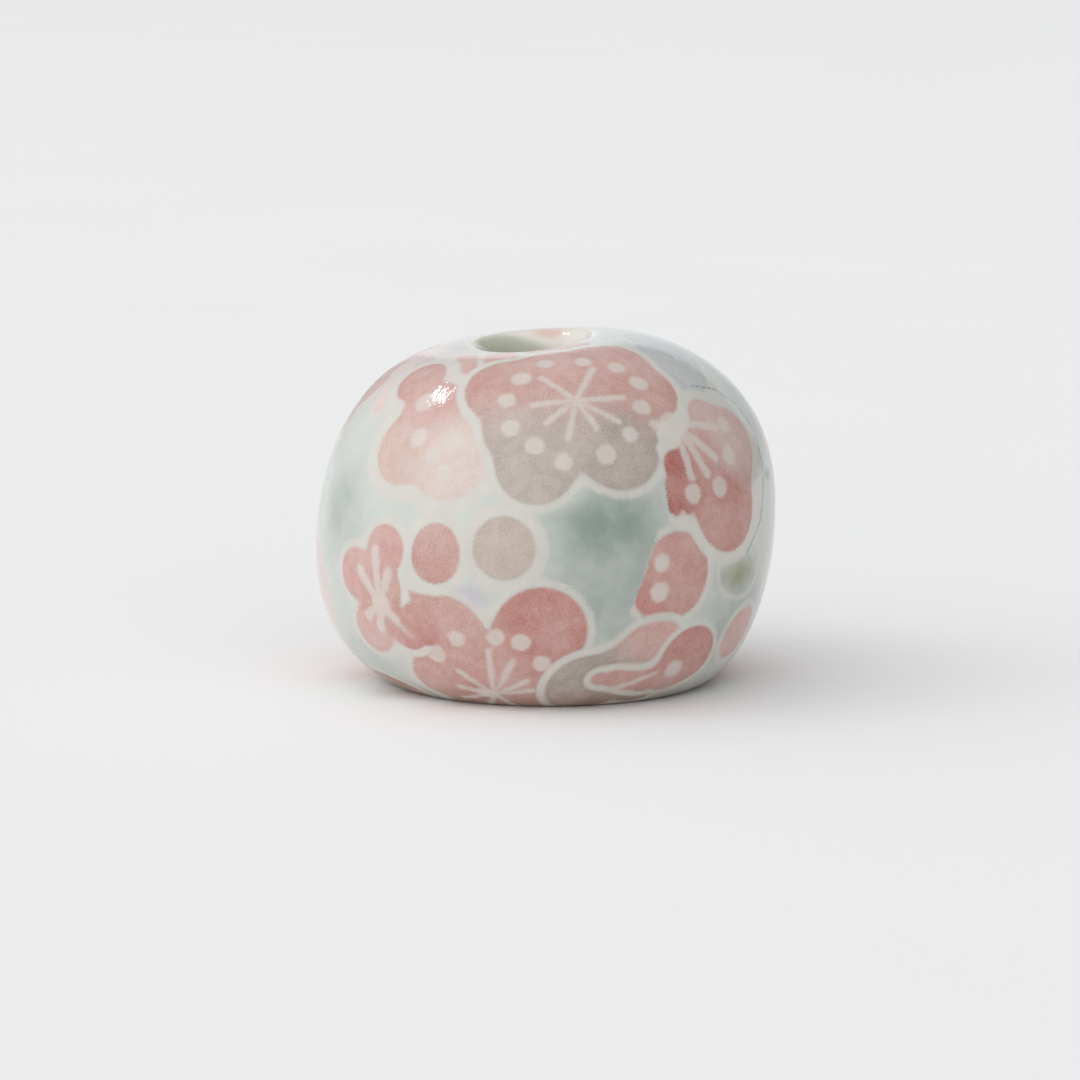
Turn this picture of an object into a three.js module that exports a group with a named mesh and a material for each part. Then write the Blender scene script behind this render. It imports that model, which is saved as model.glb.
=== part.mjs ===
// A flower frog: a squat, hollow porcelain pebble, formed by hand, with one flared mouth on top.
// Stems stand in the mouth and the hollow below it holds their water.
// Millimetres, +Z up. The foot stands on z = 0 and the origin is under the middle of the object.

import * as THREE from 'three';

// ---------------------------------------------------------------- driving dimensions

// The glazed outside, as a section from the axis outwards, before the hand-formed tilt.
// Two cubic curves meet at the equator. A handle is how far each end runs straight on.
const HEIGHT = 45;
const EQUATOR_RADIUS = 30;
const EQUATOR_HEIGHT = 20;
const FOOT_RADIUS = 20;
const FOOT_HANDLE = 2;
const BELLY_HANDLE = 14.5;
const SHOULDER_HANDLE = 17.5;

// The mouth: a round crest that rolls over and down into a plain throat.
const CREST_RADIUS = 8.5;
const THROAT_RADIUS = 5.5;
const FLARE_DEPTH = 5;
const THROAT_LENGTH = 0.8;

// The hollow inside, to the face of its glaze lining.
const RESERVOIR_RADIUS = 26;
const RESERVOIR_FLOOR = 5;
const RESERVOIR_FLOOR_RADIUS = 16;
const RESERVOIR_SHOULDER_POWER = 2.3;
const THROAT_EDGE_ROUNDING = 1.2;

// The bare underside: a flat ring to stand on, round a shallow recess.
const RING_INNER_RADIUS = 13.5;
const RECESS_RADIUS = 12.5;
const RECESS_DEPTH = 0.8;

// The glaze, and the hair of space that keeps each solid clear of the next.
const GLAZE_THICKNESS = 0.35;
const HAIR_GAP = 0.05;

// The hand-formed shape: how far the crown leans, tilts and bulges to one side, and how far
// a thumb has pressed the rim down at the front.
const CROWN_LEAN = -2.1;
const TILT_RISE = 0.26;
const TILT_EASE = -0.19;
const SIDE_BULGE = 0.02;
const SIDE_BULGE_LOW = -0.013;
const THUMB_DEPTH = 1.05;
const THUMB_REACH = 13;
const THUMB_TURN = 15 * (Math.PI / 180);

// How finely the curves are divided.
const SEGMENTS_ROUND = 40;
const BELLY_STEPS = 7;
const SHOULDER_STEPS = 12;
const LIP_STEPS = 5;
const INSIDE_STEPS = 8;
const EDGE_STEPS = 2;

const MATERIALS = {
  porcelain: new THREE.MeshStandardMaterial({ color: 0xeee9e0, roughness: 0.8, metalness: 0 }),
  printedGlaze: new THREE.MeshStandardMaterial({ color: 0xd9b9b2, roughness: 0.1, metalness: 0 }),
  insideGlaze: new THREE.MeshStandardMaterial({ color: 0xb9bfae, roughness: 0.15, metalness: 0 }),
};

// ---------------------------------------------------------------- sections

// A quarter of a superellipse, from its upright end at the side to its level end.
function quarter(side, level, power, steps) {
  const points = [];
  for (let i = 0; i <= steps; i += 1) {
    const angle = (i / steps) * (Math.PI / 2);
    const across = Math.max(Math.cos(angle), 0) ** (2 / power);
    const along = Math.sin(angle) ** (2 / power);
    points.push(new THREE.Vector2(
      level.x + (side.x - level.x) * across,
      side.y + (level.y - side.y) * along,
    ));
  }
  return points;
}

// Runs joined end to end, with the point that two runs share kept once.
function joined(...runs) {
  return runs.flatMap((run, i) => (i === 0 ? run : run.slice(1)));
}

const equator = new THREE.Vector2(EQUATOR_RADIUS, EQUATOR_HEIGHT);
const crest = new THREE.Vector2(CREST_RADIUS, HEIGHT);
const flareEnd = new THREE.Vector2(THROAT_RADIUS, HEIGHT - FLARE_DEPTH);

// From the edge of the foot up to the equator.
function bellyCurve() {
  return new THREE.CubicBezierCurve(
    new THREE.Vector2(FOOT_RADIUS, 0),
    new THREE.Vector2(FOOT_RADIUS + FOOT_HANDLE, 0),
    new THREE.Vector2(EQUATOR_RADIUS, EQUATOR_HEIGHT - BELLY_HANDLE),
    equator,
  );
}

// From the equator up to the crest. The handle at the crest is as long as it takes for the
// two curves to bend equally where they meet, so that no line shows round the equator.
function shoulderCurve() {
  const bellyReach = EQUATOR_RADIUS - FOOT_RADIUS - FOOT_HANDLE;
  const shoulderReach = bellyReach * (SHOULDER_HANDLE / BELLY_HANDLE) ** 2;
  return new THREE.CubicBezierCurve(
    equator,
    new THREE.Vector2(EQUATOR_RADIUS, EQUATOR_HEIGHT + SHOULDER_HANDLE),
    new THREE.Vector2(EQUATOR_RADIUS - shoulderReach, HEIGHT),
    crest,
  );
}

// The outside face of the glaze, from the foot up, over the lip and down the flare.
// The glaze is wiped off the edge of the foot, so the first point there is left out.
function outsideFace() {
  const belly = bellyCurve().getPoints(BELLY_STEPS).slice(1);
  const shoulder = shoulderCurve().getPoints(SHOULDER_STEPS);
  const lip = quarter(flareEnd, crest, 2, LIP_STEPS).reverse();
  return joined(belly, shoulder, lip);
}

// The inside face of the lining, from the end of the flare down to the middle of the floor.
function insideFace() {
  const liningStart = new THREE.Vector2(THROAT_RADIUS, flareEnd.y - HAIR_GAP);
  const throatEnd = new THREE.Vector2(THROAT_RADIUS, flareEnd.y - THROAT_LENGTH);
  const ceiling = throatEnd.y - THROAT_EDGE_ROUNDING;
  const ceilingEdge = new THREE.Vector2(THROAT_RADIUS + THROAT_EDGE_ROUNDING, ceiling);
  const widest = new THREE.Vector2(RESERVOIR_RADIUS, EQUATOR_HEIGHT);
  const floorEdge = new THREE.Vector2(RESERVOIR_FLOOR_RADIUS, RESERVOIR_FLOOR);
  const floorMiddle = new THREE.Vector2(0, RESERVOIR_FLOOR);
  const throatEdge = [liningStart, ...quarter(throatEnd, ceilingEdge, 2, EDGE_STEPS)];
  const vault = quarter(widest, ceilingEdge, RESERVOIR_SHOULDER_POWER, INSIDE_STEPS).reverse();
  const bowl = quarter(widest, floorEdge, 2, INSIDE_STEPS);
  return joined(throatEdge, vault, bowl, [floorEdge, floorMiddle]);
}

// The same section moved into the material by a depth, square to the face at every point.
// The material is on the left of a section that is walked from the foot to the floor.
function sunk(face, depth) {
  return face.map((point, i) => {
    const before = face[Math.max(i - 1, 0)];
    const after = face[Math.min(i + 1, face.length - 1)];
    const along = after.clone().sub(before).normalize();
    return new THREE.Vector2(Math.max(point.x - along.y * depth, 0), point.y + along.x * depth);
  });
}

const outside = outsideFace();
const glazedFace = [...outside, ...insideFace()];
const glazeBack = sunk(glazedFace, GLAZE_THICKNESS);
const clayFace = sunk(glazedFace, GLAZE_THICKNESS + HAIR_GAP);

// ---------------------------------------------------------------- the hand-formed solid

// How far the thumb has pressed a point down. It is deepest where the rim faces the front,
// a little to the left, and fades out towards the back, down the shoulder and inside.
function thumbPress(point) {
  const radius = Math.hypot(point.x, point.y);
  const towardsThumb = -point.x * Math.sin(THUMB_TURN) - point.y * Math.cos(THUMB_TURN);
  const facing = radius > 0 ? (1 + towardsThumb / radius) / 2 : 0;
  const height = Math.max(point.z / HEIGHT, 0);
  const spread = 1 / (1 + (radius / THUMB_REACH) ** 6);
  return THUMB_DEPTH * facing ** 2 * height ** 4 * spread;
}

// Moves a point of the true round form to where the hand-formed one has it.
// The foot, at z = 0, stays flat and round.
function handFormed(point) {
  const rise = point.z / HEIGHT;
  const radius = Math.hypot(point.x, point.y);
  const sideways = radius > 0 ? point.x / radius : 0;
  const once = Math.sin(Math.PI * rise);
  const twice = Math.sin(2 * Math.PI * rise);
  const swell = 1 + sideways * (SIDE_BULGE * once + SIDE_BULGE_LOW * twice);
  const tilt = TILT_RISE * rise + TILT_EASE * rise * rise;
  return new THREE.Vector3(
    point.x * swell + CROWN_LEAN * rise,
    point.y * swell,
    point.z + point.x * tilt - thumbPress(point),
  );
}

// A section turned about the upright axis and then bent to the hand-formed shape.
function turned(section) {
  const geometry = new THREE.LatheGeometry(section, SEGMENTS_ROUND);
  geometry.rotateX(Math.PI / 2);
  const position = geometry.attributes.position;
  const point = new THREE.Vector3();
  for (let i = 0; i < position.count; i += 1) {
    point.fromBufferAttribute(position, i);
    position.setXYZ(i, ...handFormed(point));
  }
  geometry.computeVertexNormals();
  return geometry;
}

function piece(name, section, material) {
  const mesh = new THREE.Mesh(turned(section), material);
  mesh.name = name;
  return mesh;
}

// ---------------------------------------------------------------- the pieces

// The fired clay: foot, wall, lip, throat and reservoir in one.
function porcelainBody() {
  const underside = [
    new THREE.Vector2(0, RECESS_DEPTH),
    new THREE.Vector2(RECESS_RADIUS, RECESS_DEPTH),
    new THREE.Vector2(RING_INNER_RADIUS, 0),
    new THREE.Vector2(FOOT_RADIUS, 0),
  ];
  return piece('porcelain_body', [...underside, ...clayFace], MATERIALS.porcelain);
}

// The clear glaze over the printed outside. It is wiped off just above the foot.
function outerGlaze() {
  const front = glazedFace.slice(0, outside.length);
  const back = glazeBack.slice(0, outside.length).reverse();
  return piece('outer_glaze', [...front, ...back, front[0]], MATERIALS.printedGlaze);
}

// The glaze that makes the reservoir and the bottom of the throat watertight.
function reservoirGlaze() {
  const front = glazedFace.slice(outside.length);
  const back = glazeBack.slice(outside.length).reverse();
  return piece('reservoir_glaze', [...back, ...front], MATERIALS.insideGlaze);
}

const flowerFrog = new THREE.Group();
flowerFrog.add(porcelainBody(), outerGlaze(), reservoirGlaze());

// The lean and the bulge move the middle of the object, so it is set back over the origin.
const box = new THREE.Box3().setFromObject(flowerFrog);
const middle = box.getCenter(new THREE.Vector3());
for (const mesh of flowerFrog.children) {
  mesh.position.set(-middle.x, -middle.y, 0);
}

export default flowerFrog;
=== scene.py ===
"""The looks of a hollow porcelain flower frog: glaze, blossom print, bare foot and glazed inside.

The CAD model settles the shape. Each of its three solids is rebuilt here on the same formulas,
many times finer, and the print is worked out as distances on the glaze, in millimetres.
"""

import math

import bpy
import numpy as np
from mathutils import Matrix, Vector


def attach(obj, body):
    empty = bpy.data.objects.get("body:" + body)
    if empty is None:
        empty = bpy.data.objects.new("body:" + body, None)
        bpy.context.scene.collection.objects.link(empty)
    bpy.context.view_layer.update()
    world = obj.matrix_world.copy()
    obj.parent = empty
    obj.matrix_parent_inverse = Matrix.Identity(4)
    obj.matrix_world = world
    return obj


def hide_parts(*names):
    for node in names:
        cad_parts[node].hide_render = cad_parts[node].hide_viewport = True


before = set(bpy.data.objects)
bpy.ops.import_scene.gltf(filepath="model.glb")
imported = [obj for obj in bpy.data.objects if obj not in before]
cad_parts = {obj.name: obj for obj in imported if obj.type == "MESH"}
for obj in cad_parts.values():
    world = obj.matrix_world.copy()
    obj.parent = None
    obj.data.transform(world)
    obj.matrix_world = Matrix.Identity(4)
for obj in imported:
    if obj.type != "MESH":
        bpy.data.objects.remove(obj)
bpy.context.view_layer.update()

MM = 0.001

# ------------------------------------------------------------------ shape, as in the CAD model

HEIGHT = 45.0
EQUATOR_RADIUS = 30.0
EQUATOR_HEIGHT = 20.0
FOOT_RADIUS = 20.0
FOOT_HANDLE = 2.0
BELLY_HANDLE = 14.5
SHOULDER_HANDLE = 17.5

CREST_RADIUS = 8.5
THROAT_RADIUS = 5.5
FLARE_DEPTH = 5.0
THROAT_LENGTH = 0.8

RESERVOIR_RADIUS = 26.0
RESERVOIR_FLOOR = 5.0
RESERVOIR_FLOOR_RADIUS = 16.0
RESERVOIR_SHOULDER_POWER = 2.3
THROAT_EDGE_ROUNDING = 1.2

RING_INNER_RADIUS = 13.5
RECESS_RADIUS = 12.5
RECESS_DEPTH = 0.8
POLE_RADIUS = 2.0

GLAZE_THICKNESS = 0.35
HAIR_GAP = 0.05

CROWN_LEAN = -2.1
TILT_RISE = 0.26
TILT_EASE = -0.19
SIDE_BULGE = 0.02
SIDE_BULGE_LOW = -0.013
THUMB_DEPTH = 1.05
THUMB_REACH = 13.0
THUMB_TURN = math.radians(15)

# How finely the visual surfaces are divided. The print needs the glaze to be the finest.
GLAZE_COLUMNS = 480
BELLY_ROWS = 64
SHOULDER_ROWS = 96
LIP_ROWS = 22
PLAIN_COLUMNS = 240
CLAY_ROWS = (30, 40, 10)
INSIDE_ROWS = 24
THROAT_EDGE_ROWS = 8

# The glaze is wiped off the lowest rows, and its hidden back has a row for every few in front.
WIPED_ROWS = 3
BACK_SPACING = 7


def curve(a, b, c, d, steps):
    """A cubic curve from a to d with handles b and c, as steps + 1 points."""
    t = np.linspace(0, 1, steps + 1)[:, None]
    a, b, c, d = (np.array(p, float) for p in (a, b, c, d))
    return (1 - t) ** 3 * a + 3 * (1 - t) ** 2 * t * b + 3 * (1 - t) * t**2 * c + t**3 * d


def quarter(side, level, power, steps):
    """A quarter of a superellipse, from its upright end at the side to its level end."""
    angle = np.linspace(0, math.pi / 2, steps + 1)
    across = np.cos(angle).clip(0) ** (2 / power)
    along = np.sin(angle).clip(0) ** (2 / power)
    radius = level[0] + (side[0] - level[0]) * across
    height = side[1] + (level[1] - side[1]) * along
    return np.column_stack([radius, height])


def joined(*runs):
    """Runs joined end to end, with the point that two runs share kept once."""
    return np.vstack([runs[0]] + [run[1:] for run in runs[1:]])


EQUATOR = (EQUATOR_RADIUS, EQUATOR_HEIGHT)
CREST = (CREST_RADIUS, HEIGHT)
FLARE_END = (THROAT_RADIUS, HEIGHT - FLARE_DEPTH)


def outside_face(belly_rows, shoulder_rows, lip_rows):
    """The outside of the glaze as (radius, height) points, from the foot up and over the lip."""
    belly_reach = EQUATOR_RADIUS - FOOT_RADIUS - FOOT_HANDLE
    shoulder_reach = belly_reach * (SHOULDER_HANDLE / BELLY_HANDLE) ** 2
    belly = curve(
        (FOOT_RADIUS, 0),
        (FOOT_RADIUS + FOOT_HANDLE, 0),
        (EQUATOR_RADIUS, EQUATOR_HEIGHT - BELLY_HANDLE),
        EQUATOR,
        belly_rows,
    )
    shoulder = curve(
        EQUATOR,
        (EQUATOR_RADIUS, EQUATOR_HEIGHT + SHOULDER_HANDLE),
        (EQUATOR_RADIUS - shoulder_reach, HEIGHT),
        CREST,
        shoulder_rows,
    )
    lip = quarter(FLARE_END, CREST, 2, lip_rows)[::-1]
    return joined(belly, shoulder, lip)


def inside_face(rows):
    """The inside of the lining, from the end of the flare down to the middle of the floor."""
    lining_start = (THROAT_RADIUS, FLARE_END[1] - HAIR_GAP)
    throat_end = (THROAT_RADIUS, FLARE_END[1] - THROAT_LENGTH)
    ceiling = throat_end[1] - THROAT_EDGE_ROUNDING
    ceiling_edge = (THROAT_RADIUS + THROAT_EDGE_ROUNDING, ceiling)
    widest = (RESERVOIR_RADIUS, EQUATOR_HEIGHT)
    floor_edge = (RESERVOIR_FLOOR_RADIUS, RESERVOIR_FLOOR)
    throat_edge = quarter(throat_end, ceiling_edge, 2, THROAT_EDGE_ROWS)
    vault = quarter(widest, ceiling_edge, RESERVOIR_SHOULDER_POWER, rows)[::-1]
    bowl = quarter(widest, floor_edge, 2, rows)
    floor = np.array([floor_edge, (RESERVOIR_FLOOR_RADIUS / 2, RESERVOIR_FLOOR), (0, RESERVOIR_FLOOR)])
    return np.vstack([[lining_start], joined(throat_edge, vault, bowl, floor)])


def sunk(face, depth):
    """A section moved into the material, which is on the left of the way the section runs."""
    along = np.gradient(face, axis=0)
    along /= np.linalg.norm(along, axis=1, keepdims=True)
    inward = np.column_stack([-along[:, 1], along[:, 0]])
    moved = face + inward * depth
    moved[:, 0] = moved[:, 0].clip(0)
    return moved


def thumb_press(x, y, z):
    """How far the rim is pressed down, deepest at the front and a little to the left."""
    radius = np.maximum(np.hypot(x, y), 1e-9)
    towards_thumb = -x * math.sin(THUMB_TURN) - y * math.cos(THUMB_TURN)
    facing = (1 + towards_thumb / radius) / 2
    spread = 1 / (1 + (radius / THUMB_REACH) ** 6)
    return THUMB_DEPTH * facing**2 * (z / HEIGHT).clip(0) ** 4 * spread


def hand_formed(points):
    """Moves points of the true round form to where the hand-formed one has them."""
    x, y, z = points[..., 0], points[..., 1], points[..., 2]
    rise = z / HEIGHT
    sideways = x / np.maximum(np.hypot(x, y), 1e-9)
    bulge = SIDE_BULGE * np.sin(math.pi * rise) + SIDE_BULGE_LOW * np.sin(2 * math.pi * rise)
    swell = 1 + sideways * bulge
    tilt = TILT_RISE * rise + TILT_EASE * rise**2
    up = z + x * tilt - thumb_press(x, y, z)
    return np.stack([x * swell + CROWN_LEAN * rise, y * swell, up], axis=-1)


def rings(section, columns):
    """A section turned about the upright axis, as rows by columns by 3. Column 0 faces -Y."""
    turn = np.arange(columns) * (2 * math.pi / columns)
    radius = section[:, :1]
    x = radius * np.sin(turn)
    y = -radius * np.cos(turn)
    z = np.repeat(section[:, 1:], columns, axis=1)
    return hand_formed(np.stack([x, y, z], axis=-1))


def recentred(points):
    """The lean and the bulge move the middle of the object, so it is set back over the origin."""
    return points - np.array([MIDDLE_X, 0, 0])


FACE = outside_face(BELLY_ROWS, SHOULDER_ROWS, LIP_ROWS)
_outline = rings(FACE, GLAZE_COLUMNS)
MIDDLE_X = (_outline[..., 0].min() + _outline[..., 0].max()) / 2
WALL = np.concatenate([[0], np.cumsum(np.hypot(*np.diff(FACE, axis=0).T))])

# ------------------------------------------------------------------ meshes


def make_mesh(name, grid, closed):
    """A mesh over rows of points that close round. Its ends close on each other, or at a pole."""
    rows, columns = grid.shape[:2]
    index = np.arange(rows * columns).reshape(rows, columns)
    nxt = np.roll(index, -1, axis=1)
    last = rows if closed else rows - 1
    faces = []
    for row in range(last):
        above = (row + 1) % rows
        quad = np.column_stack([index[row], nxt[row], nxt[above], index[above]])
        faces.extend(quad.tolist())
    points = grid.reshape(-1, 3)
    if not closed:
        first_pole = len(points)
        poles = np.array([grid[0].mean(axis=0), grid[-1].mean(axis=0)])
        points = np.vstack([points, poles])
        faces.extend(np.column_stack([nxt[0], index[0], np.full(columns, first_pole)]).tolist())
        top = np.column_stack([index[-1], nxt[-1], np.full(columns, first_pole + 1)])
        faces.extend(top.tolist())
    mesh = bpy.data.meshes.new(name)
    mesh.from_pydata((points * MM).tolist(), [], faces)
    mesh.polygons.foreach_set("use_smooth", np.ones(len(mesh.polygons), bool))
    mesh.update()
    piece = bpy.data.objects.new(name, mesh)
    bpy.context.scene.collection.objects.link(piece)
    return piece


def put(piece, node, material):
    """The piece stands for a CAD node, rides on the one body and takes its material."""
    piece.data.materials.append(material)
    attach(piece, "root")
    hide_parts(node)


# ------------------------------------------------------------------ the print: how it is drawn


def rgb(text):
    """A display colour written as six hex digits, as linear red, green and blue."""
    values = np.array([int(text[i : i + 2], 16) for i in (0, 2, 4)]) / 255
    return np.where(values <= 0.04045, values / 12.92, ((values + 0.055) / 1.055) ** 2.4)


# The tones of the print: petals first, then leaves, washes, the painted reflection of a softbox's dark
# edge and worn places. Some of them also carry painted light or painted shade where they are used.
PINK = rgb("c79c93")
DEEP = rgb("c0887f")
ROSE = rgb("d1a9a1")
TAUPE = rgb("bbb1a8")
BEIGE = rgb("c4b6ab")
PEACH = rgb("d4bab0")
PALE = rgb("dccec6")
BLUSH = rgb("e0cdc8")
TOAST_AND_SHADE = rgb("93806d")
DARK = rgb("b3695f")
MAUVE = rgb("d4b9b4")
OCHRE_AND_SHADE = rgb("9e7358")
ASH_AND_SHADE = rgb("aca39a")
CREAM_AND_LIGHT = rgb("e6e1d9")
SLATE = rgb("c1c8c9")
MIST = rgb("c6ccce")
CELADON_AND_SHADE = rgb("bec0ad")
GREEN = rgb("86978c")
SAGE = rgb("99a29b")
OLIVE = rgb("8f9070")
LAVENDER = rgb("c3bcc6")
GREY_PINK_SHADE = rgb("c6b8b6")
APRICOT = rgb("dcbcae")
FRAME_REFLECTION_GREY = rgb("6f7779")
WORN = rgb("d9c8c0")
BARE_DOTS = rgb("e0d6ce")
UNBRUSHED = rgb("dfe0dc")
MILK = rgb("cbcfc8")

# The usual width of a white outline, half the width of a stamen at its root and at its tip, and how
# wide the painted reflection of a softbox's dark edge is drawn beside a stamen.
LINE = 1.0
STROKE_ROOT = 0.34
STROKE_TIP = 0.46
FRAME_REFLECTION_WIDTH = 0.4

# How far the petals of one blossom melt together, in outline and in tone.
PETAL_BLEND = 0.7
TONE_BLEND = 1.6

# The circles of a narrow petal: how far apart, and how small the end ones are.
NARROW_STEP = 0.7
NARROW_END = 0.6

# The lip: how much of it the celadon leaves bare, how much more on the right than on the left, how
# suddenly and where that changes, and over what length the celadon fades in. The wider bare cream on
# the right is painted light on the lit inner wall, and the celadon high on the left is painted shade.
LIP_BARE = 1.9
LIP_LIGHT_AND_SHADE = 1.7
LIP_CHANGE = 1.8
LIP_TURN = math.radians(5)
CELADON_FADE = 1.2

# How far up the wall the toasted edge of the foot reaches, and the painted shade under the belly with
# it.
TOAST_AND_SHADE_REACH = 6.0

# Well outside everything, and how sharply a wash ends.
NOWHERE = -9.0
WASH_EDGE = 1.2


def nearest_row(up_wall):
    """The row of the glaze that is nearest to a distance up the wall from the foot."""
    return int(np.abs(WALL - up_wall).argmin())


class Chart:
    """Flat coordinates u, v in millimetres round a spot on the wall, true in length from it."""

    def __init__(self, grid, azimuth, up_wall, turn=0.0, reach=26.0):
        row = nearest_row(up_wall)
        column = round(azimuth / 360 * GLAZE_COLUMNS) % GLAZE_COLUMNS
        spot = grid[row, column]
        around = grid[row, (column + 1) % GLAZE_COLUMNS] - grid[row, column - 1]
        up = grid[min(row + 1, len(grid) - 1), column] - grid[row - 1, column]
        out = np.cross(around, up)
        out /= np.linalg.norm(out)
        right = np.cross((0, 0, 1), out)
        right /= np.linalg.norm(right)
        above = np.cross(out, right)
        away = grid - spot
        u, v = away @ right, away @ above
        straight = np.linalg.norm(away, axis=-1)
        stretch = straight / np.maximum(np.hypot(u, v), 1e-6)
        angle = math.radians(turn)
        u, v = u * stretch, v * stretch
        self.u = u * math.cos(angle) + v * math.sin(angle)
        self.v = v * math.cos(angle) - u * math.sin(angle)
        self.near = straight < reach

    def distance(self, x, y):
        """How far each point is from a spot on the chart."""
        return np.hypot(self.u - x, self.v - y)

    def stroke(self, start, angle, length, width):
        """How far inside a round-ended stroke each point is."""
        x, y = start
        dx, dy = math.cos(math.radians(angle)), math.sin(math.radians(angle))
        along = ((self.u - x) * dx + (self.v - y) * dy).clip(0, length)
        half = width * (STROKE_ROOT + (STROKE_TIP - STROKE_ROOT) * along / length)
        return half - np.hypot(self.u - x - along * dx, self.v - y - along * dy)


class Print:
    """The print as fields over the glaze. Each is how far inside a thing a point is, in mm."""

    def __init__(self, grid):
        self.grid = grid
        shape = grid.shape[:2]
        self.petal = np.full(shape, NOWHERE)
        self.line = np.full(shape, NOWHERE)
        self.mark = np.full(shape, NOWHERE)
        self.frame_reflection = np.full(shape, NOWHERE)
        self.tone = np.tile(MILK, (*shape, 1))
        self.wash = np.tile(MILK, (*shape, 1))

    def chart(self, spot):
        """Flat coordinates round a spot, given as degrees round and millimetres up the wall."""
        return Chart(self.grid, *spot)

    def motif(
        self,
        chart,
        petals,
        stamens=(),
        dots=(),
        centre=(0, 0),
        line=LINE,
        cut=None,
        hub=0,
        bare=False,
        stroke_width=1.0,
    ):
        """One blossom or leaf, laid over what is there. petals are (x, y, radius, tone).

        A bare one is only its outline, with the washed ground showing inside it.
        """
        depths = np.stack([r - chart.distance(x, y) for x, y, r, _ in petals])
        deepest = depths.max(axis=0)
        inside = deepest + PETAL_BLEND * np.log(np.exp((depths - deepest) / PETAL_BLEND).sum(axis=0))
        share = np.exp((depths - deepest) / TONE_BLEND)
        share /= share.sum(axis=0)
        tone = sum(part[..., None] * petal[3] for part, petal in zip(share, petals))
        patch = np.where(chart.near, -NOWHERE, NOWHERE)
        if cut:
            across, upward, offset = cut
            patch = np.minimum(patch, across * chart.u + upward * chart.v - offset)
        marks = [chart.stroke(centre, angle, length, stroke_width) for angle, length in stamens]
        marks += [r - chart.distance(x, y) for x, y, r in dots]
        if hub:
            marks.append(hub - chart.distance(*centre))
        mark = np.minimum(np.max(marks, axis=0), patch) if marks else np.full_like(inside, NOWHERE)
        foot = np.minimum(inside + line, patch)
        band = np.minimum(np.minimum(-inside, inside + line), patch) if line else NOWHERE
        if line:
            self.petal = np.minimum(self.petal, -foot)
        if not bare:
            self.petal = np.maximum(np.minimum(inside, patch), self.petal)
        self.line = np.maximum(band, np.minimum(self.line, -foot))
        self.mark = np.maximum(mark, np.minimum(self.mark, -foot))
        covered = (inside > -line / 2) & (patch > 0)
        self.tone[covered] = tone[covered]

    def seam(self, chart, corners):
        """A fine dark line through the corners: a painted reflection of the dark edge of a softbox on
        the glaze.
        """
        for start, end in zip(corners, corners[1:]):
            angle = math.degrees(math.atan2(end[1] - start[1], end[0] - start[0]))
            drawn = chart.stroke(start, angle, math.dist(start, end), FRAME_REFLECTION_WIDTH)
            self.frame_reflection = np.maximum(self.frame_reflection, drawn)

    def washed(self, chart, x, y, width, height, tone, strength):
        """A soft wash of colour with no outline."""
        away = np.hypot((chart.u - x) / width, (chart.v - y) / height)
        part = strength * np.exp(-(away**3) * WASH_EDGE) * chart.near
        self.wash += (tone - self.wash) * part[..., None]


def narrow(start, end, half, tone):
    """A narrow petal, as a row of overlapping circles that shrink towards both ends."""
    steps = math.ceil(math.dist(start, end) / (half * NARROW_STEP))
    petals = []
    for i in range(steps + 1):
        t = i / steps
        x = start[0] + (end[0] - start[0]) * t
        y = start[1] + (end[1] - start[1]) * t
        radius = half * (NARROW_END + (1 - NARROW_END) * math.sin(math.pi * t))
        petals.append((x, y, radius, tone))
    return petals


# A plain blossom, in parts of its size: its petals, its stamens and the ring of dots, each within
# a range. Few and short stamens go on a small one.
PETAL_AWAY = (0.54, 0.6)
PETAL_RADIUS = (0.4, 0.45)
PETAL_TURN = (-0.12, 0.12)
STAMEN_LENGTH = (0.36, 0.5)
STAMEN_TURN = (-0.25, 0.25)
DOTS_AWAY = 0.66
DOT_SHIFT = (-0.2, 0.2)
DOT_WOBBLE = (-0.09, 0.09)
DOT_SIZE = (0.9, 1.12)
SMALL_BLOSSOM = 10


def ring_of_dots(count, radius, size, dice):
    """Dots round a blossom, none quite in its place."""
    dots = []
    for i in range(count):
        angle = 2 * math.pi * (i + dice.uniform(*DOT_SHIFT)) / count
        away = radius * (1 + dice.uniform(*DOT_WOBBLE))
        dots.append((away * math.cos(angle), away * math.sin(angle), size * dice.uniform(*DOT_SIZE)))
    return dots


def plain_blossom(art, azimuth, up_wall, turn, size, tones, seed):
    """A whole five-petalled plum blossom, each a little different."""
    dice = np.random.default_rng(seed)
    petals = []
    for i, tone in enumerate(tones):
        angle = 2 * math.pi * i / len(tones) + dice.uniform(*PETAL_TURN)
        away = size * dice.uniform(*PETAL_AWAY)
        radius = size * dice.uniform(*PETAL_RADIUS)
        petals.append((away * math.cos(angle), away * math.sin(angle), radius, tone))
    strokes = 9 if size > SMALL_BLOSSOM else 7
    stamens = []
    for i in range(strokes):
        angle = 360 * (i + dice.uniform(*STAMEN_TURN)) / strokes
        stamens.append((angle, size * dice.uniform(*STAMEN_LENGTH)))
    dots = ring_of_dots(strokes + 2, size * DOTS_AWAY, 0.55 + size * 0.045, dice)
    chart = Chart(art.grid, azimuth, up_wall, turn, reach=size * 1.9)
    art.motif(chart, petals, stamens, dots)


# ------------------------------------------------------------------ the print: what is on it


# The spots that the print on the side facing -Y is laid out from. Each is how far round it is, in
# degrees from -Y towards +X, and how far up the wall from the foot, in millimetres.
UPPER = (13, 43.8)
UPPER_LEFT = (-30.5, 42.3)
UPPER_RIGHT = (39.5, 38.8)
MIDDLE_BUD = (-9, 26.1)
MIDDLE_LEFT = (-42.5, 20.7)
MIDDLE_RIGHT = (24, 20.4)
BOTTOM = (-14.5, 7.4)
LEFT_FOOT = (-46.5, 7.7)
LEFT_EDGE = (-58, 23.8)
LEFT_LIP = (-66, 48.8)
RIGHT_SIDE = (60.5, 15)
RIGHT_EDGE = (74, 40)
RIGHT_SHOULDER = (62.5, 47.6)
FAR_LIP = (162, 62)


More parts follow.
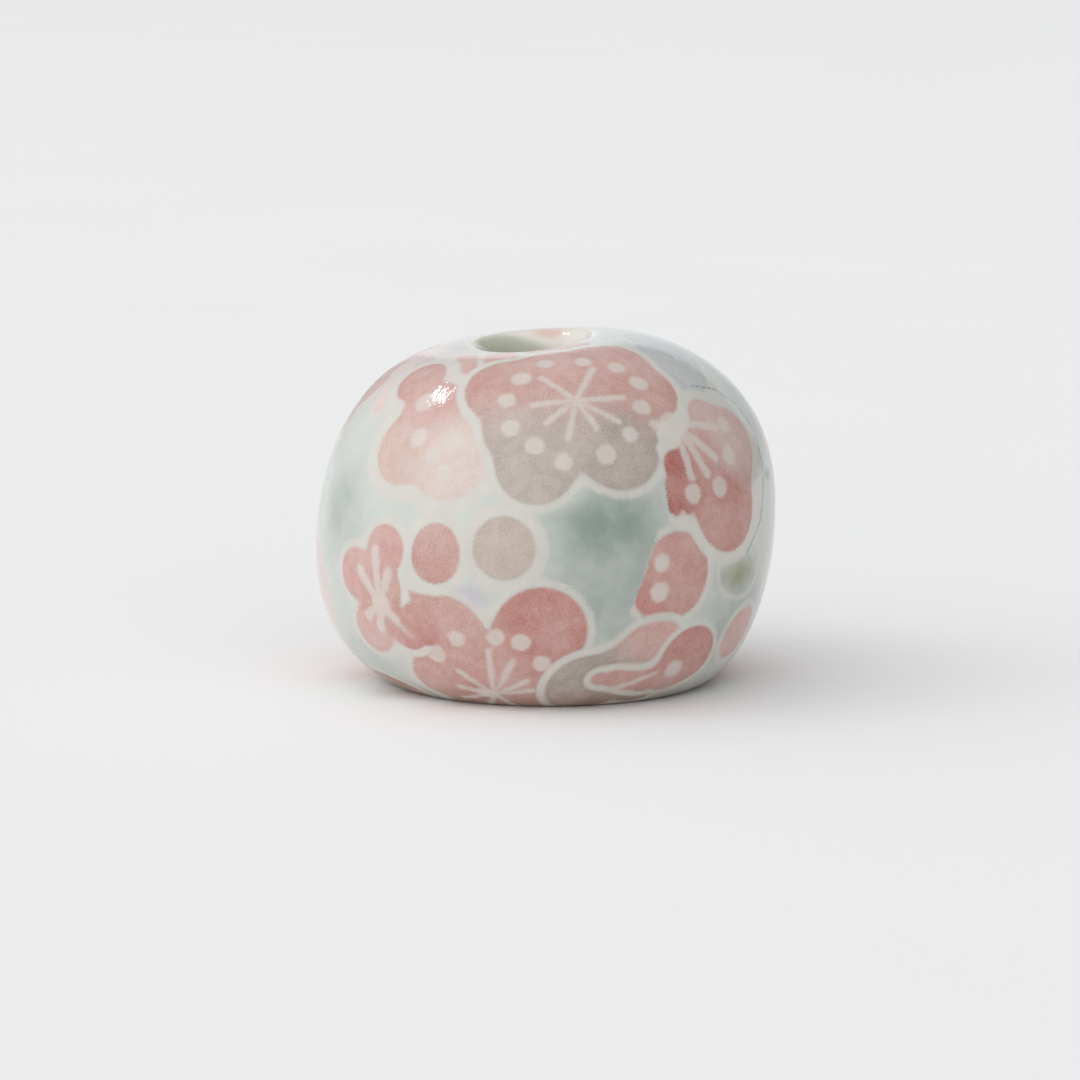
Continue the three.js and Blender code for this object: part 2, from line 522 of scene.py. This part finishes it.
def petals_underneath(art):
    """Narrow petals under the lip, and leaves and petals at the sides. The rest covers them."""
    upper = art.chart(UPPER)
    lip = art.chart(LEFT_LIP)
    right = art.chart(RIGHT_SIDE)
    shoulder_leaf = [(-1.4, -0.5, 4.6, SLATE), (1.8, 3, 4.4, SLATE), (4, 7, 3.6, MIST)]
    art.motif(upper, narrow((-13, 10.9), (-3, 15.2), 1.5, ROSE), line=0.5)
    art.motif(upper, narrow((-4.5, 14.7), (3, 15.9), 1.2, PINK), line=0.4)
    art.motif(lip, narrow((5, 8.2), (12, 6), 1.4, ROSE), line=0.7)
    art.motif(lip, narrow((6.5, 12.6), (14, 9.2), 1.3, ROSE), line=0.7)
    art.motif(lip, narrow((1.1, 0.8), (2.1, -4), 1.5, BLUSH), line=0.7)
    art.motif(lip, narrow((-3, 7), (-1.9, 2), 1.5, BLUSH), line=0.7)
    art.motif(art.chart(RIGHT_SHOULDER), shoulder_leaf, line=0.8)
    # The ochre of this low petal is partly painted shade near the foot.
    art.motif(art.chart(LEFT_FOOT), narrow((-8, -4.2), (-1, -5.4), 2.2, OCHRE_AND_SHADE), line=0.8)
    art.motif(art.chart(LEFT_EDGE), [(-10.8, -6.2, 5, BLUSH), (-11.4, -2.4, 3.8, BLUSH)], line=0.8)
    art.motif(right, [(1.2, -5, 3.3, ROSE), (2.4, -4.6, 3.2, ROSE)])
    art.motif(right, [(-3, 5.2, 3.6, MILK), (-0.5, 4.6, 3.4, MILK)], line=0.8, bare=True)


def lower_blossoms(art):
    """The blossoms from the waist down to the foot, each over the one before."""
    left = art.chart(MIDDLE_LEFT)
    right = art.chart(MIDDLE_RIGHT)
    # Two petals whose left side the green wash cuts off.
    art.motif(
        right,
        petals=[(5.2, 0.6, 5.0, PINK), (5.5, -1.5, 4.2, DEEP), (2.6, -2, 3.4, DEEP)],
        dots=[(3, 1.8, 1.15), (2.8, -2, 1.35)],
        cut=(1, -0.35, 0.3),
    )
    # The big blossom that stands on the foot, with its lower half out of sight under the belly.
    art.motif(
        art.chart(BOTTOM),
        petals=[
            (-6.2, 5.8, 5.7, PINK),
            (6.2, 6.8, 6.1, DEEP),
            (-7.4, -1.2, 4.4, PINK),
            (0, 2, 4.5, PINK),
            (5.5, -6, 6, PINK),
            (-3, -9, 5, PINK),
            (-12.3, 6, 2.2, DEEP),
            (-11.2, 8.3, 2.5, PINK),
        ],
        stamens=[
            (88, 7.5),
            (62, 6.8),
            (138, 5.6),
            (30, 5.2),
            (8, 5),
            (172, 4.5),
            (205, 5),
            (-60, 6),
            (-110, 6),
        ],
        dots=[
            (-4.7, 5.9, 1.15),
            (-7.8, 3, 1.4),
            (0.5, 6.6, 1.2),
            (3.7, 5.8, 1.3),
            (6, 2.4, 1.2),
        ],
        centre=(-0.8, -3),
    )
    # A beige bud, a pink bud, and the small blossom on the left with broad stamens.
    art.motif(art.chart(MIDDLE_BUD), petals=[(0, 0, 4.1, BEIGE)], line=1.6)
    art.motif(left, petals=[(8.1, 4.6, 3.3, PINK), (8.3, 6.3, 2.8, PINK)], line=1.4)
    art.motif(
        left,
        petals=[
            (0.3, 5.2, 3.2, ROSE),
            (-5.3, 1.4, 3.4, ROSE),
            (-3.2, -5.8, 3.4, ROSE),
            (3.2, -5.2, 2.8, DEEP),
            (0, 0, 3, PINK),
        ],
        stamens=[(95, 6.8), (68, 4.6), (132, 5.4), (215, 3.4), (258, 3.4), (-38, 5.6)],
        centre=(-0.8, -2),
        hub=1.7,
        stroke_width=1.6,
    )
    # No outline parts the small blossom from the big one.
    bridge = [(3.9, -3.5, 1.5, PINK), (5.4, -3.4, 2.1, PINK), (5.8, -5.2, 2, DEEP)]
    art.motif(left, bridge, line=0)
    # The grey leaf at the foot, and the blossom on it that runs out to a narrow tail.
    art.motif(
        right,
        petals=[
            (-5.2, -15.4, 5.2, ASH_AND_SHADE),
            (2.0, -10, 3.9, ROSE),
            (4.6, -8.6, 2.4, ROSE),
            (2.5, -15, 4, ASH_AND_SHADE),
            (-1, -13, 4, ASH_AND_SHADE),
        ],
    )
    art.motif(
        right,
        petals=[
            (9.1, -11.9, 4.5, DEEP),
            (3, -15, 1.8, PINK),
            (6.5, -14.5, 2.6, PINK),
            (0.6, -14.6, 1.5, PINK),
            (-1.5, -14, 1.3, PINK),
            (-3.8, -14, 1.0, PINK),
        ],
        stamens=[(200, 6)],
        dots=[(7.2, -13.6, 1.4)],
        centre=(4.5, -13.8),
        line=0.8,
    )


def upper_blossoms(art):
    """The three blossoms on the shoulder, the largest in the middle and the right one on top."""
    right = art.chart(UPPER_RIGHT)
    art.motif(
        art.chart(UPPER_LEFT),
        petals=[
            (-6.8, 7, 3.7, PINK),
            (-3.6, -3.6, 5.0, PEACH),
            (3.4, -4.4, 5.5, PALE),
            (-2, 2, 4.5, ROSE),
        ],
        dots=[(-2, -2.2, 1.3), (3.4, -2.2, 1.3), (1, -4.4, 1.2), (3.1, -6.4, 1.1), (-3.3, 3, 1.5)],
        line=1.8,
    )
    art.motif(
        art.chart(UPPER),
        petals=[
            (-8, 4.2, 5.9, PINK),
            (-1.5, 7, 5.4, ROSE),
            (5, 8.3, 5.8, ROSE),
            (8.3, 3.2, 5.5, PINK),
            (0, 1.5, 4.5, PINK),
            (-7.5, -2.5, 4.6, TAUPE),
            # Partly painted shade: the lower right petal is a darker grey for the shade on that side.
            (4.9, -5.7, 5.7, ASH_AND_SHADE),
            (-5.6, -7.6, 5.4, TAUPE),
            (-1, -4.5, 3.5, TAUPE),
        ],
        stamens=[
            (65, 6.8),
            (132, 6),
            (182, 5.4),
            (8, 6.2),
            (-30, 6),
            (-60, 4.6),
            (-105, 5.6),
            (-142, 5),
        ],
        dots=[
            (-6.5, 5.4, 1.3),
            (-3.1, 8.3, 1.15),
            (1.8, 8.4, 1.15),
            (6, 7.4, 1.15),
            (8.5, 4.5, 1.25),
            (8.5, 0.3, 1.2),
            (6.6, -4, 1.1),
            (3.3, -7, 1.3),
            (-2.2, -7.9, 1.15),
            (-5.8, -5.5, 1.2),
            (-8.5, -2.5, 1.2),
            (-8.6, 1.8, 1.2),
        ],
        centre=(0, 0.6),
    )
    art.motif(
        right,
        petals=[
            (6, 1, 2.8, MAUVE),
            (10, -1.8, 4.6, MAUVE),
            (9.6, -5, 3.6, MAUVE),
            (6.9, -10.4, 6.1, DEEP),
            (3.5, -4, 3.6, PINK),
            (-1.4, -5, 1.7, DARK),
            (-1.4, -9, 2.7, DARK),
        ],
        stamens=[(-3, 7), (-40, 7.2), (-62, 7.5), (-84, 7), (170, 3)],
        dots=[(9, 0, 1.1), (8.4, -4.2, 1.3), (5.6, -8.3, 1.35), (0.7, -9, 1.3), (-1.3, -11.9, 0.9)],
        cut=(1, 0, -3.5),
        hub=1.9,
        line=1.5,
        stroke_width=1.35,
    )
    round_the_petals = [(6.5, 6), (11, 5.8), (14.4, 4), (16.7, 0.6), (17.3, -4)]
    down_the_side = [(16.5, -8), (15.6, -12), (12, -16.5)]
    # Painted reflection: the dark edge of a softbox, as a fine grey line round the petals and down the
    # side.
    art.seam(right, round_the_petals + down_the_side)


def blossoms_around(art):
    """The print goes on round the sides and the back, under the belly and up to the lip.

    Each plain blossom is given by its place, turn, size and tones, and the seed of its own dice.
    """
    plain_blossom(art, 108, 9, 20, 11, [DEEP, ROSE, PINK, ROSE, DEEP], 1)
    art.motif(Chart(art.grid, 87, 19), petals=[(0, 0, 3.6, BEIGE)], line=1.2)
    plain_blossom(art, 96, 31, 65, 8.5, [ROSE, PINK, ROSE, PINK, ROSE], 12)
    plain_blossom(art, 119, 38, 50, 12, [TAUPE, ROSE, PINK, ROSE, TAUPE], 2)
    plain_blossom(art, 138, 21, 10, 11, [PINK, DEEP, PINK, PEACH, PEACH], 3)
    plain_blossom(art, 156, 45, 80, 12, [ROSE, PINK, ROSE, TAUPE, TAUPE], 4)
    plain_blossom(art, 165, 8, 35, 12, [PINK, ROSE, TAUPE, TAUPE, PINK], 5)
    plain_blossom(art, 185, 29, 60, 12, [DEEP, PINK, ROSE, ROSE, PINK], 6)
    plain_blossom(art, 206, 48, 15, 11, [PEACH, PALE, ROSE, PINK, ROSE], 7)
    plain_blossom(art, 215, 12, 5, 12, [PINK, DEEP, PINK, ROSE, ROSE], 8)
    plain_blossom(art, 236, 33, 40, 12, [ROSE, TAUPE, TAUPE, PINK, PINK], 9)
    plain_blossom(art, 256, 9, 70, 11, [PINK, ROSE, PEACH, ROSE, PINK], 10)
    plain_blossom(art, 258, 46, 25, 10.5, [ROSE, PINK, PALE, PEACH, ROSE], 11)


def mouth_wash_light_and_shade(art):
    """A cream lip, with celadon that runs up out of the throat nearly to the crest on the left:
    celadon glaze, with painted shade on the left inner wall and painted light in the wider cream on
    the right.
    """
    crest = WALL[BELLY_ROWS + SHOULDER_ROWS]
    azimuth = np.arange(GLAZE_COLUMNS) * (2 * math.pi / GLAZE_COLUMNS)
    # Painted light and shade: more bare cream on the lit right, celadon higher up on the shaded left.
    towards_lit_side = np.clip(LIP_CHANGE * np.sin(azimuth - LIP_TURN), -1, 1)
    lit_lip_width = LIP_BARE + LIP_LIGHT_AND_SHADE * towards_lit_side
    past_crest = WALL[:, None] - crest
    cream = (past_crest + 0.5).clip(0, 1)[..., None]
    art.wash += (CREAM_AND_LIGHT - art.wash) * cream
    celadon = ((past_crest - lit_lip_width) / CELADON_FADE).clip(0, 1)[..., None]
    art.wash += (CELADON_AND_SHADE - art.wash) * celadon


def foot_toast_and_shade(art):
    """The firing leaves the lowest edge of the glaze tan, on ground and petals alike, and the same
    darkening is also painted shade under the belly.
    """
    low = (1 - WALL / TOAST_AND_SHADE_REACH).clip(0, 1)[:, None, None]
    # Toasting and painted shade: ground and petals are taken darker towards the foot.
    art.wash += (TOAST_AND_SHADE - art.wash) * low * 0.9
    art.tone += (OCHRE_AND_SHADE - art.tone) * low * 0.95


def washes(art):
    """Leaf-green, sage and olive brushed on the ground, with no outlines, with painted shade round the
    left of the lip and painted light and shade inside the lip.
    """
    right = art.chart(MIDDLE_RIGHT)
    right_side = art.chart(RIGHT_SIDE)
    right_edge = art.chart(RIGHT_EDGE)
    left_edge = art.chart(LEFT_EDGE)
    art.washed(right, -3, 1, 11, 14, SAGE, 0.85)
    art.washed(right, -4.5, 7, 6.5, 3.6, GREEN, 0.9)
    art.washed(left_edge, -2, 6.5, 6, 7, SAGE, 0.4)
    art.washed(left_edge, -3, 7.5, 3, 4, GREEN, 0.35)
    art.washed(left_edge, -1, -14, 9, 5, SAGE, 0.4)
    art.washed(art.chart(MIDDLE_LEFT), 12.6, -0.4, 2.4, 2.2, LAVENDER, 0.9)
    # Painted shade: grey-pink laid on the pale ground round the lip on the left.
    art.washed(art.chart(LEFT_LIP), 1, 5, 11, 9, GREY_PINK_SHADE, 0.8)
    art.washed(right_side, -1, -2, 7, 8, SAGE, 0.7)
    art.washed(right_side, -2.3, 4, 4.2, 1.9, OLIVE, 1.0)
    art.washed(right_edge, 1.1, -10.6, 1.9, 0.7, GREEN, 1.0)
    art.washed(right_edge, 3, 0, 4, 9, SAGE, 0.5)
    art.washed(art.chart(RIGHT_SHOULDER), 5, 8, 8, 6, MIST, 0.8)
    mouth_wash_light_and_shade(art)
    art.washed(art.chart(FAR_LIP), 0, 0, 2.8, 1.0, APRICOT, 0.9)


# ------------------------------------------------------------------ materials


GLAZE_ROUGHNESS = 0.07
GLAZE_IOR = 1.5
LINING_ROUGHNESS = 0.12
FLOOR_ROUGHNESS = 0.9

# The mesh of the printing screen, in millimetres.
SCREEN_MESH = 0.42

# How fine each kind of mottling is, as patches to a millimetre.
CLOUDS = 0.17
RIPPLES = 0.22
BRUSHING = 0.3
POOLS = 0.4
WHITES = 0.5
BLOTS = 0.6
WOBBLE = 0.8
PEEL = 1.1
FLECKS = 3.4
STRAYS = 4.2
GRAIN = 5


class Nodes:
    """A short way to build a material's node tree."""

    def __init__(self, name):
        self.material = bpy.data.materials.new(name)
        self.material.use_nodes = True
        self.tree = self.material.node_tree
        self.shader = self.tree.nodes["Principled BSDF"]

    def add(self, kind, **settings):
        node = self.tree.nodes.new(kind)
        for key, value in settings.items():
            setattr(node, key, value)
        return node

    def wire(self, source, socket):
        self.tree.links.new(source, socket)

    def feed(self, socket, value):
        if isinstance(value, bpy.types.NodeSocket):
            self.wire(value, socket)
        else:
            socket.default_value = value

    def math(self, operation, a, b=0.0):
        node = self.add("ShaderNodeMath", operation=operation)
        self.feed(node.inputs[0], a)
        self.feed(node.inputs[1], b)
        return node.outputs[0]

    def step(self, value, low, high):
        """0 below low, 1 above high, and a smooth step between."""
        node = self.add("ShaderNodeMapRange", interpolation_type="SMOOTHSTEP")
        self.feed(node.inputs["Value"], value)
        self.feed(node.inputs["From Min"], low)
        self.feed(node.inputs["From Max"], high)
        return node.outputs["Result"]

    def mix(self, part, a, b):
        """Colour a where part is 0, and b where it is 1."""
        node = self.add("ShaderNodeMix", data_type="RGBA")
        self.feed(node.inputs[0], part)
        for socket, value in ((node.inputs[6], a), (node.inputs[7], b)):
            if not isinstance(value, bpy.types.NodeSocket):
                value = (*value, 1.0)
            self.feed(socket, value)
        return node.outputs[2]

    def blend(self, part, strength, a, b):
        """A mix that goes only as far towards b as its strength."""
        return self.mix(self.math("MULTIPLY", part, strength), a, b)

    def gamma(self, colour, power):
        """Above 1 a light colour is hardly changed and a strong one gets deeper."""
        node = self.add("ShaderNodeGamma")
        self.wire(colour, node.inputs["Color"])
        node.inputs["Gamma"].default_value = power
        return node.outputs[0]

    def place(self):
        """The point on the piece, in millimetres."""
        coords = self.add("ShaderNodeTexCoord").outputs["Object"]
        node = self.add("ShaderNodeVectorMath", operation="SCALE")
        self.wire(coords, node.inputs[0])
        node.inputs["Scale"].default_value = 1 / MM
        return node.outputs[0]

    def noise(self, vector, per_mm, detail=2.0, rough=0.5):
        node = self.add("ShaderNodeTexNoise")
        self.wire(vector, node.inputs["Vector"])
        node.inputs["Scale"].default_value = per_mm
        node.inputs["Detail"].default_value = detail
        node.inputs["Roughness"].default_value = rough
        return node.outputs["Fac"]

    def attribute(self, name, kind="Fac"):
        return self.add("ShaderNodeAttribute", attribute_name=name).outputs[kind]

    def bump(self, height, strength, distance, onto=None):
        node = self.add("ShaderNodeBump")
        node.inputs["Strength"].default_value = strength
        node.inputs["Distance"].default_value = distance * MM
        self.wire(height, node.inputs["Height"])
        if onto:
            self.wire(onto, node.inputs["Normal"])
        return node.outputs[0]


def screen_mesh(n, place):
    """The faint grid that a printing screen leaves, from -1 to 1."""
    axes = n.add("ShaderNodeSeparateXYZ")
    n.wire(place, axes.inputs[0])
    waves = 2 * math.pi / SCREEN_MESH
    across = n.math("SINE", n.math("MULTIPLY", axes.outputs["X"], waves))
    upward = n.math("SINE", n.math("MULTIPLY", axes.outputs["Z"], waves))
    return n.math("MULTIPLY", across, upward)


def pigment(n, place, petal_depth):
    """The petals' colour: worn and clouded, deeper at the rim, grainy, with the screen's grid."""
    tone = n.attribute("tone", "Color")
    cloud = n.step(n.noise(place, CLOUDS, 3), 0.35, 0.7)
    blot = n.step(n.noise(place, BLOTS, 3), 0.4, 0.66)
    colour = n.blend(cloud, 0.3, tone, WORN)
    deeper = n.gamma(colour, 1.35)
    colour = n.blend(blot, 0.35, colour, deeper)
    rim = n.step(petal_depth, 1.3, 0.1)
    colour = n.blend(rim, 0.15, colour, deeper)
    grain = n.noise(place, GRAIN, 2, 0.6)
    dotted = n.math("ADD", grain, n.math("MULTIPLY", screen_mesh(n, place), 0.05))
    darkest = n.gamma(colour, 1.5)
    colour = n.blend(n.step(dotted, 0.52, 0.68), 0.4, colour, darkest)
    fleck = n.step(n.noise(place, FLECKS, 2, 0.6), 0.66, 0.72)
    colour = n.blend(fleck, 0.45, colour, darkest)
    return n.blend(n.step(dotted, 0.48, 0.34), 0.16, colour, BARE_DOTS)


def printed_glaze():
    """Pigment under a glossy clear glaze: washes, petals, white outlines, stamens and a painted
    reflection of a softbox's dark edge.
    """
    n = Nodes("printed_glaze")
    place = n.place()
    wobble = n.math("MULTIPLY", n.math("SUBTRACT", n.noise(place, WOBBLE, 3), 0.5), 0.6)
    grain = n.math("MULTIPLY", n.math("SUBTRACT", n.noise(place, GRAIN, 2, 0.7), 0.5), 1.3)
    fray = n.math("ADD", wobble, grain)
    petal_depth = n.math("ADD", n.attribute("petal"), fray)
    petal = n.step(petal_depth, -0.2, 0.2)
    line = n.step(n.math("ADD", n.attribute("line"), fray), -0.25, 0.3)
    mark = n.step(n.math("ADD", n.attribute("mark"), fray), -0.25, 0.3)

    wash = n.attribute("wash", "Color")
    brushed = n.step(n.noise(place, BRUSHING, 4), 0.35, 0.7)
    ground = n.blend(brushed, 0.22, wash, UNBRUSHED)
    colour = n.mix(petal, ground, pigment(n, place, petal_depth))
    white = n.mix(n.noise(place, WHITES, 2), rgb("d0c8c0"), rgb("dfd9d2"))
    stray = n.step(n.noise(place, STRAYS, 1), 0.6, 0.7)
    white = n.blend(stray, 0.25, white, ROSE)
    colour = n.blend(line, 0.7, colour, white)
    colour = n.blend(mark, 0.76, colour, white)
    # Painted reflection: the dark edge of a softbox, as a fine grey line on the glaze.
    frame_reflection = n.step(n.math("ADD", n.attribute("frame_reflection"), n.math("MULTIPLY", grain, 0.3)), -0.12, 0.1)
    colour = n.blend(frame_reflection, 0.6, colour, FRAME_REFLECTION_GREY)
    n.wire(colour, n.shader.inputs["Base Color"])
    n.shader.inputs["Roughness"].default_value = GLAZE_ROUGHNESS
    n.shader.inputs["IOR"].default_value = GLAZE_IOR
    ripple = n.bump(n.noise(place, RIPPLES, 2), 0.3, 0.35)
    peel = n.bump(n.noise(place, PEEL, 3), 0.5, 0.1, ripple)
    n.wire(peel, n.shader.inputs["Normal"])
    return n.material


def inside_glaze():
    """Celadon glaze, darker towards the floor."""
    n = Nodes("inside_glaze")
    place = n.place()
    up = n.add("ShaderNodeSeparateXYZ")
    n.wire(place, up.inputs[0])
    height = n.step(up.outputs["Z"], RESERVOIR_FLOOR + 1, FLARE_END[1])
    colour = n.mix(height, rgb("8b9180"), rgb("b9bda8"))
    colour = n.blend(n.noise(place, POOLS, 4), 0.35, colour, rgb("d3d3c0"))
    n.wire(colour, n.shader.inputs["Base Color"])
    n.shader.inputs["Roughness"].default_value = LINING_ROUGHNESS
    n.wire(n.bump(n.noise(place, 0.8, 3), 0.2, 0.1), n.shader.inputs["Normal"])
    return n.material


def bare_porcelain():
    """Fired clay with no glaze: chalky and faintly speckled."""
    n = Nodes("porcelain")
    place = n.place()
    clay = n.mix(n.noise(place, 0.35, 4), rgb("e3dbcf"), rgb("efe9df"))
    speck = n.step(n.noise(place, 2.6, 2), 0.68, 0.74)
    clay = n.blend(speck, 0.5, clay, rgb("a98a6c"))
    n.wire(clay, n.shader.inputs["Base Color"])
    rough = n.math("ADD", n.math("MULTIPLY", n.noise(place, 1.5, 3), 0.2), 0.6)
    n.wire(rough, n.shader.inputs["Roughness"])
    n.wire(n.bump(n.noise(place, 5, 4), 0.35, 0.06), n.shader.inputs["Normal"])
    return n.material


# ------------------------------------------------------------------ the three pieces


def glaze_skin():
    """The printed glaze: the outside face, and a plain back against the clay."""
    front = FACE[WIPED_ROWS:]
    back = sunk(FACE, GLAZE_THICKNESS)[WIPED_ROWS:][::-BACK_SPACING]
    grid = recentred(rings(np.vstack([front, back]), GLAZE_COLUMNS))
    piece = make_mesh("glaze_skin", grid, closed=True)
    art = Print(recentred(rings(FACE, GLAZE_COLUMNS)))
    washes(art)
    blossoms_around(art)
    petals_underneath(art)
    lower_blossoms(art)
    upper_blossoms(art)
    foot_toast_and_shade(art)
    shape = grid.shape[:2]
    for name in ("petal", "line", "mark", "frame_reflection"):
        field = np.full(shape, NOWHERE, np.float32)
        field[: len(front)] = getattr(art, name)[WIPED_ROWS:]
        made = piece.data.attributes.new(name, "FLOAT", "POINT")
        made.data.foreach_set("value", field.ravel())
    for name in ("tone", "wash"):
        field = np.ones((*shape, 4), np.float32)
        field[: len(front), :, :3] = getattr(art, name)[WIPED_ROWS:]
        made = piece.data.attributes.new(name, "FLOAT_COLOR", "POINT")
        made.data.foreach_set("color", field.ravel())
    return piece


def clay_body():
    """The fired clay: the same section, deeper by the glaze, on its bare ring and recess."""
    face = np.vstack([outside_face(*CLAY_ROWS)[1:], inside_face(INSIDE_ROWS)])
    clay = sunk(face, GLAZE_THICKNESS + HAIR_GAP)
    underside = np.array(
        [
            (POLE_RADIUS, RECESS_DEPTH),
            (RECESS_RADIUS - 0.5, RECESS_DEPTH),
            (RECESS_RADIUS, RECESS_DEPTH - 0.08),
            (RING_INNER_RADIUS - 0.2, 0.1),
            (RING_INNER_RADIUS + 0.2, 0),
            (FOOT_RADIUS - 0.5, 0),
            (FOOT_RADIUS, 0.02),
        ]
    )
    section = np.vstack([underside, clay[:-1]])
    return make_mesh("clay_body", recentred(rings(section, PLAIN_COLUMNS)), closed=False)


def lining():
    """The glaze inside the throat and the reservoir."""
    face = inside_face(INSIDE_ROWS)
    back = sunk(face, GLAZE_THICKNESS)
    section = np.vstack([back[:-1][::-1], face[:-1]])
    return make_mesh("reservoir_lining", recentred(rings(section, PLAIN_COLUMNS)), closed=False)


put(glaze_skin(), "outer_glaze", printed_glaze())
put(clay_body(), "porcelain_body", bare_porcelain())
put(lining(), "reservoir_glaze", inside_glaze())

# ------------------------------------------------------------------ floor, light and camera

# The way to the brightest part of the dome, and the dome's light there and opposite it.
BRIGHT_SIDE = (-0.76, -0.48, 0.43)
DIM_LEVEL = 0.04
BRIGHT_LEVEL = 1.3
DOME_COLOUR = (0.985, 0.992, 1.0, 1)

# Softboxes: azimuth and elevation in degrees, distance, width and height in metres, watts, colour.
KEY = (-84, 40, 3.0, 1.2, 1.2, 6, (1, 0.99, 0.975))
WINDOW = (-124, 50, 1.5, 0.34, 0.08, 1.6, (1, 0.95, 1))
CARD = (165, 12, 1.5, 1.27, 0.62, 1.4, (0.93, 0.97, 1.0))

FLOOR_HALF = 12.0

# The camera: degrees above level, metres away, and the lens in millimetres. The spot that it
# turns about and the spot that it looks at are in the object's millimetres.
CAMERA_ELEVATION = 8.5
CAMERA_DISTANCE = 0.6
CAMERA_LENS = 153.1
VIEW_MIDDLE = Vector((0.476, 0, HEIGHT / 2))
LOOKS_AT = VIEW_MIDDLE + Vector((-1.21, 0, -4.28))


def pale_floor():
    """A matt white floor that runs on past the top of the picture."""
    mesh = bpy.data.meshes.new("floor")
    half = FLOOR_HALF
    corners = [(-half, -half, 0), (half, -half, 0), (half, half, 0), (-half, half, 0)]
    mesh.from_pydata(corners, [], [(0, 1, 2, 3)])
    floor = bpy.data.objects.new("floor", mesh)
    bpy.context.scene.collection.objects.link(floor)
    n = Nodes("pale_floor")
    tone = n.mix(n.noise(n.place(), 0.01, 2), rgb("f8f8f8"), rgb("fafafa"))
    n.wire(tone, n.shader.inputs["Base Color"])
    n.shader.inputs["Roughness"].default_value = FLOOR_ROUGHNESS
    n.shader.inputs["Specular IOR Level"].default_value = 0
    mesh.materials.append(n.material)


def dome():
    """A white tent, brightest on the left, in front and overhead, and dimmest behind on the right."""
    world = bpy.data.worlds.new("studio")
    world.use_nodes = True
    tree = world.node_tree
    background = tree.nodes["Background"]
    way = tree.nodes.new("ShaderNodeTexCoord")
    side = tree.nodes.new("ShaderNodeVectorMath")
    side.operation = "DOT_PRODUCT"
    tree.links.new(way.outputs["Generated"], side.inputs[0])
    side.inputs[1].default_value = BRIGHT_SIDE
    grade = tree.nodes.new("ShaderNodeMapRange")
    tree.links.new(side.outputs["Value"], grade.inputs["Value"])
    grade.inputs["From Min"].default_value = -1
    grade.inputs["From Max"].default_value = 1
    grade.inputs["To Min"].default_value = DIM_LEVEL
    grade.inputs["To Max"].default_value = BRIGHT_LEVEL
    tree.links.new(grade.outputs["Result"], background.inputs["Strength"])
    background.inputs["Color"].default_value = DOME_COLOUR
    bpy.context.scene.world = world


def area_light(name, azimuth, elevation, away, width, height, power, colour):
    """A softbox that faces the middle of the object. Azimuth 0 is at the camera's side."""
    data = bpy.data.lights.new(name, "AREA")
    data.shape = "RECTANGLE"
    data.size = width
    data.size_y = height
    data.energy = power
    data.color = colour
    light = bpy.data.objects.new(name, data)
    level, up = math.radians(azimuth), math.radians(elevation)
    way = Vector((math.sin(level) * math.cos(up), -math.cos(level) * math.cos(up), math.sin(up)))
    light.location = Vector((0, 0, HEIGHT / 2 * MM)) + way * away
    light.rotation_euler = (-way).to_track_quat("-Z", "Y").to_euler()
    light.visible_camera = False
    bpy.context.scene.collection.objects.link(light)
    return light


def studio():
    """A soft key on the left, a small window for its glint, and a card behind on the right."""
    dome()
    area_light("key", *KEY).visible_glossy = False
    area_light("window", *WINDOW).visible_diffuse = False
    area_light("card", *CARD).visible_diffuse = False


def camera():
    """Looks along +Y from a little above, from far enough for a nearly flat view."""
    elevation = math.radians(CAMERA_ELEVATION)
    back = Vector((0, -math.cos(elevation), math.sin(elevation))) * CAMERA_DISTANCE
    place = VIEW_MIDDLE * MM + back
    data = bpy.data.cameras.new("camera")
    data.sensor_width = 36
    data.lens = CAMERA_LENS
    data.clip_end = 100
    cam = bpy.data.objects.new("camera", data)
    cam.location = place
    cam.rotation_euler = (LOOKS_AT * MM - place).to_track_quat("-Z", "Y").to_euler()
    bpy.context.scene.collection.objects.link(cam)
    bpy.context.scene.camera = cam


pale_floor()
studio()
camera()
bpy.context.scene.view_settings.view_transform = "Standard"
